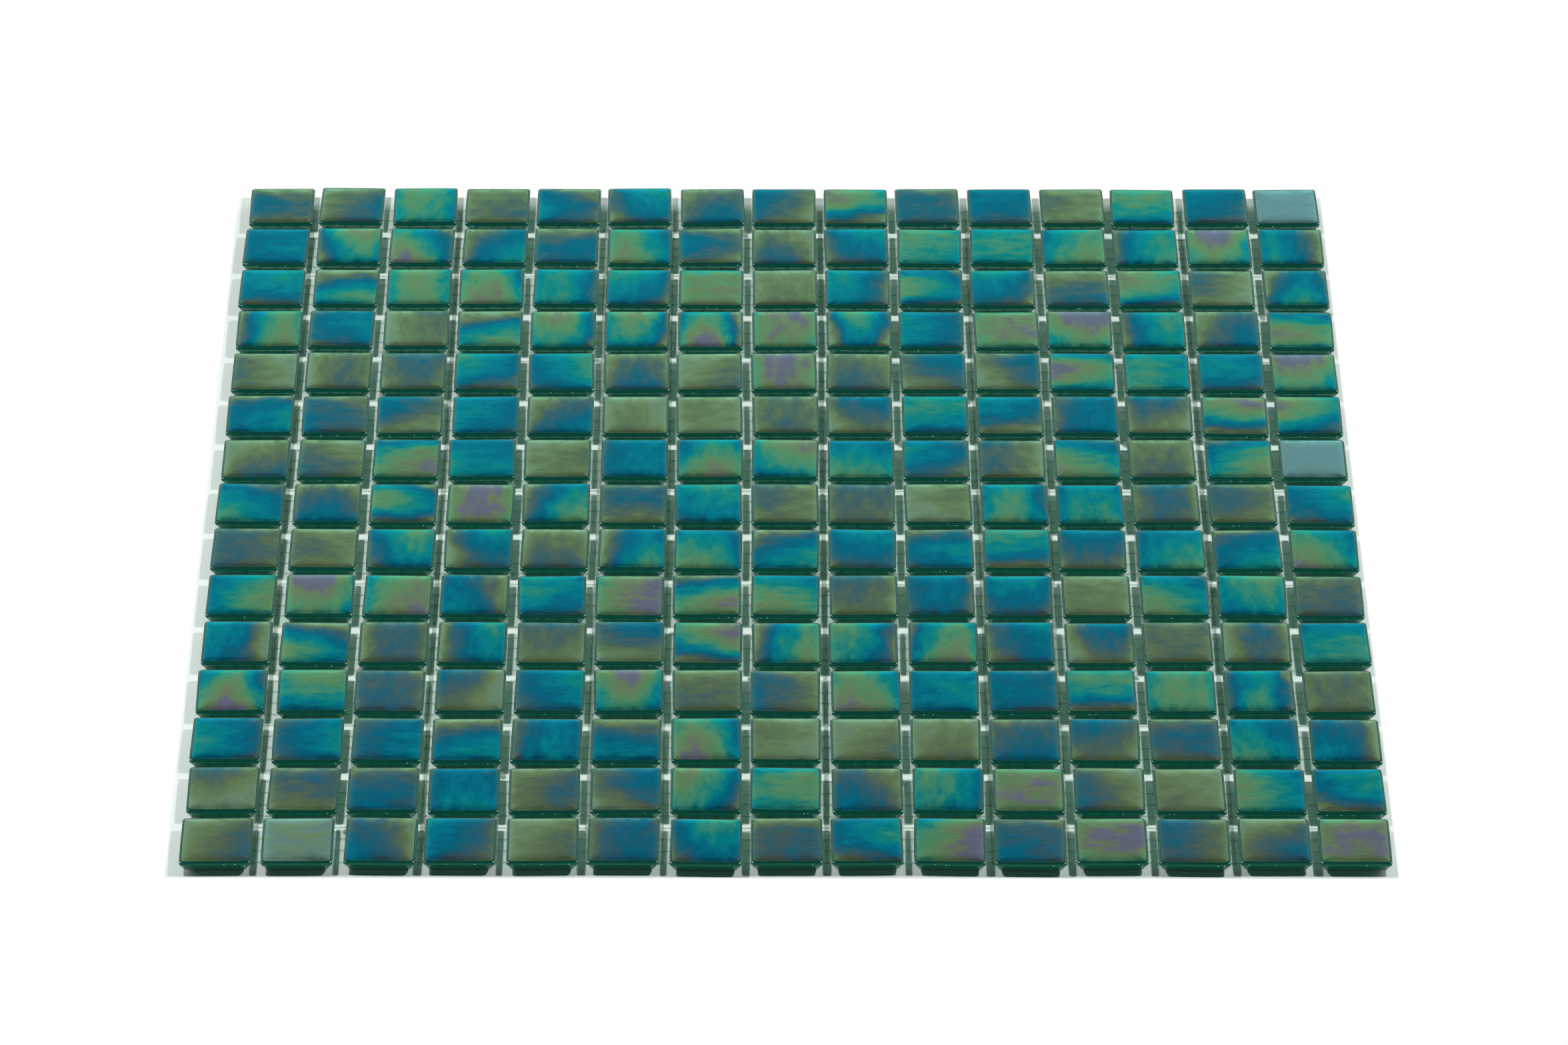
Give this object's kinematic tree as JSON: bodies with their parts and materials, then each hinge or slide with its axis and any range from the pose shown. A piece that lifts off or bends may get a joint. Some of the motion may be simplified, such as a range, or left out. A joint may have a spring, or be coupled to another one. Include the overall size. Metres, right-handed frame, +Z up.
{
  "type": "mosaic tile",
  "caption": "Square mosaic sheet: small bevelled glass tesserae in even rows on a backing net, with open joints for grout.",
  "frame": {"origin": "middle of the underside of the net, on the surface that the sheet lies on", "axes": "+Z up out of the glass faces, +X along a row of tesserae, +Y towards row 1"},
  "size_m": [0.3278, 0.3278, 0.0045],
  "materials": {
    "iridescent_glass": "pressed green glass with an iridescent film on its face",
    "net_thread": "resin-coated glass-fibre yarn"
  },
  "bodies": {
    "root": {"tesserae_row_01": "iridescent_glass", "tesserae_row_02": "iridescent_glass", "tesserae_row_03": "iridescent_glass", "tesserae_row_04": "iridescent_glass", "tesserae_row_05": "iridescent_glass", "tesserae_row_06": "iridescent_glass", "tesserae_row_07": "iridescent_glass", "tesserae_row_08": "iridescent_glass", "tesserae_row_09": "iridescent_glass", "tesserae_row_10": "iridescent_glass", "tesserae_row_11": "iridescent_glass", "tesserae_row_12": "iridescent_glass", "tesserae_row_13": "iridescent_glass", "tesserae_row_14": "iridescent_glass", "tesserae_row_15": "iridescent_glass", "net_threads_lengthwise": "net_thread", "net_threads_crosswise": "net_thread"}
  },
  "joints": []
}
